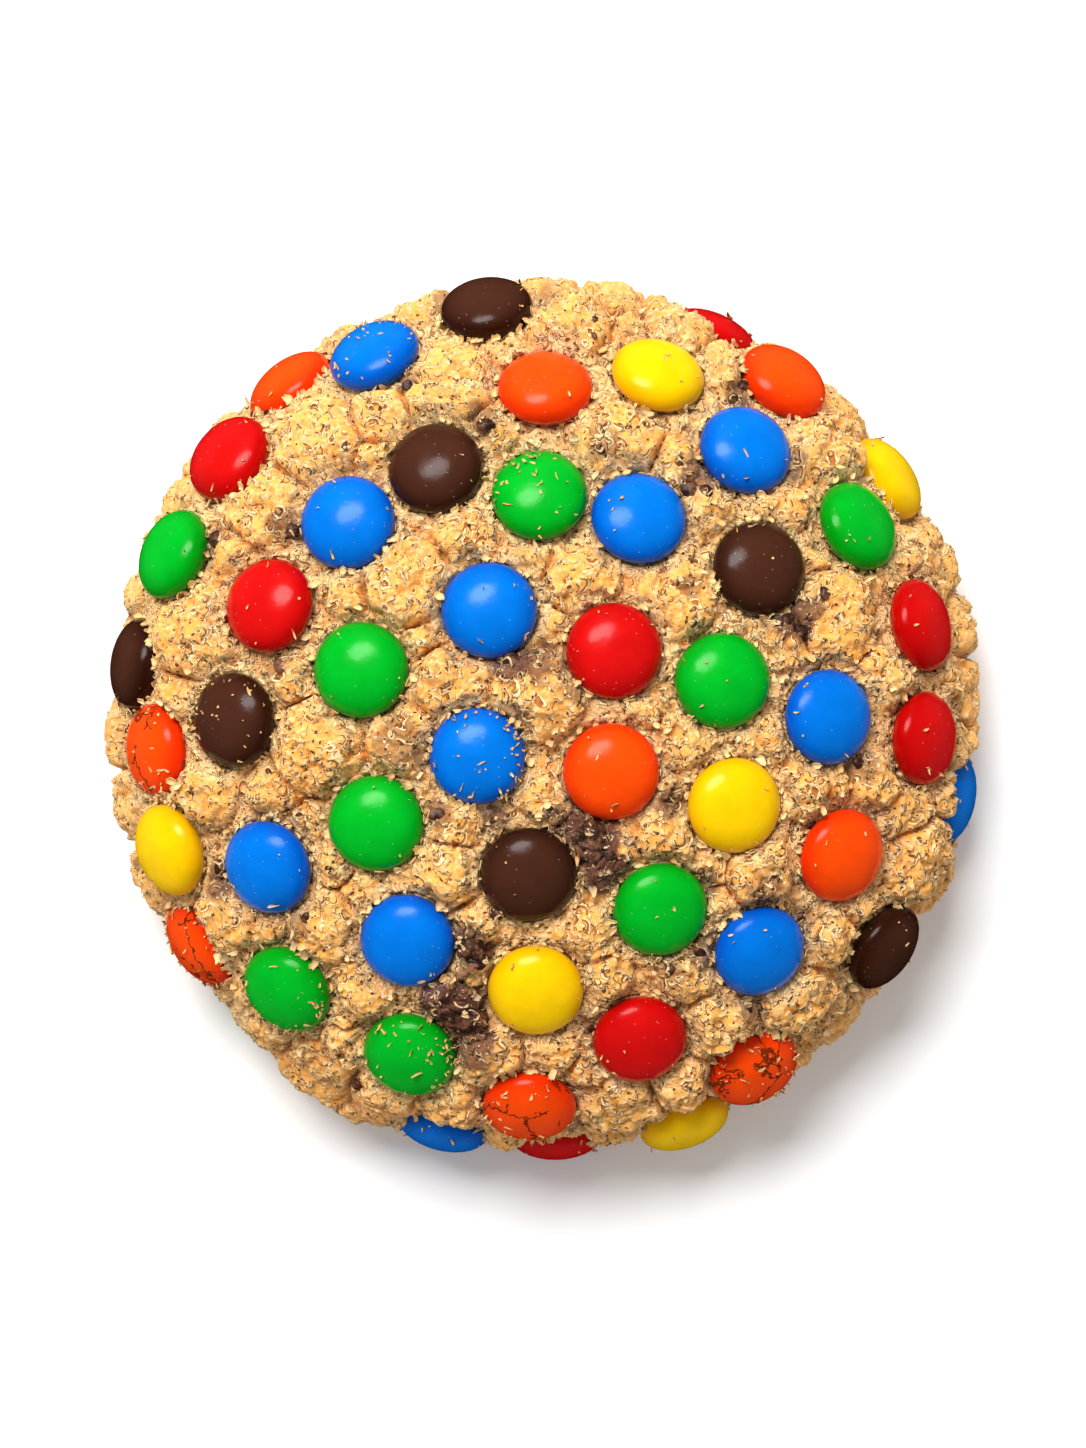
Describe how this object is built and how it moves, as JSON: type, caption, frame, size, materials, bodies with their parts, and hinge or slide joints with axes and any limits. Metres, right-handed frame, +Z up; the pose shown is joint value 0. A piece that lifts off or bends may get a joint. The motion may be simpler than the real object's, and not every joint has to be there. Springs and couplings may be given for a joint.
{
  "type": "giant cookie",
  "caption": "Giant domed cookie of lumpy golden dough, flat underneath, studded with glossy coloured chocolate buttons and dark chocolate chunks.",
  "frame": {"origin": "centre of the flat underside, on the surface the cookie rests on", "axes": "+Z up through the crown; +X is the picture's right and +Y the picture's top, seen from above"},
  "size_m": [0.128, 0.1296, 0.0422],
  "materials": {
    "dough": "golden crumbly baked dough, matt, with flakes, pits and darker skirt",
    "chocolate": "dark chocolate, dull with crumbs stuck to it",
    "shell_blue": "glossy blue sugar shell, plain, no letter",
    "shell_green": "glossy green sugar shell, plain, no letter",
    "shell_red": "glossy red sugar shell, plain, no letter",
    "shell_orange": "glossy orange sugar shell, plain, no letter",
    "shell_yellow": "glossy yellow sugar shell, plain, no letter",
    "shell_brown": "glossy brown sugar shell, plain, no letter"
  },
  "bodies": {
    "root": {"button_blue_01": "shell_blue", "button_blue_02": "shell_blue", "button_blue_03": "shell_blue", "button_blue_04": "shell_blue", "button_blue_05": "shell_blue", "button_blue_06": "shell_blue", "button_blue_07": "shell_blue", "button_blue_08": "shell_blue", "button_blue_09": "shell_blue", "button_blue_10": "shell_blue", "button_blue_11": "shell_blue", "button_blue_12": "shell_blue", "button_brown_01": "shell_brown", "button_brown_02": "shell_brown", "button_brown_03": "shell_brown", "button_brown_04": "shell_brown", "button_brown_05": "shell_brown", "button_brown_06": "shell_brown", "button_brown_07": "shell_brown", "button_green_01": "shell_green", "button_green_02": "shell_green", "button_green_03": "shell_green", "button_green_04": "shell_green", "button_green_05": "shell_green", "button_green_06": "shell_green", "button_green_07": "shell_green", "button_green_08": "shell_green", "button_green_09": "shell_green", "button_green_10": "shell_green", "button_orange_01": "shell_orange", "button_orange_02": "shell_orange", "button_orange_03": "shell_orange", "button_orange_04": "shell_orange", "button_orange_05": "shell_orange", "button_orange_06": "shell_orange", "button_orange_07": "shell_orange", "button_orange_08": "shell_orange", "button_orange_09": "shell_orange", "button_red_01": "shell_red", "button_red_02": "shell_red", "button_red_03": "shell_red", "button_red_04": "shell_red", "button_red_05": "shell_red", "button_red_06": "shell_red", "button_red_07": "shell_red", "button_red_08": "shell_red", "button_yellow_01": "shell_yellow", "button_yellow_02": "shell_yellow", "button_yellow_03": "shell_yellow", "button_yellow_04": "shell_yellow", "button_yellow_05": "shell_yellow", "button_yellow_06": "shell_yellow", "chocolate_chunk_1": "chocolate", "chocolate_chunk_2": "chocolate", "chocolate_chunk_3": "chocolate", "chocolate_chunk_4": "chocolate", "dough": "dough"}
  },
  "joints": []
}
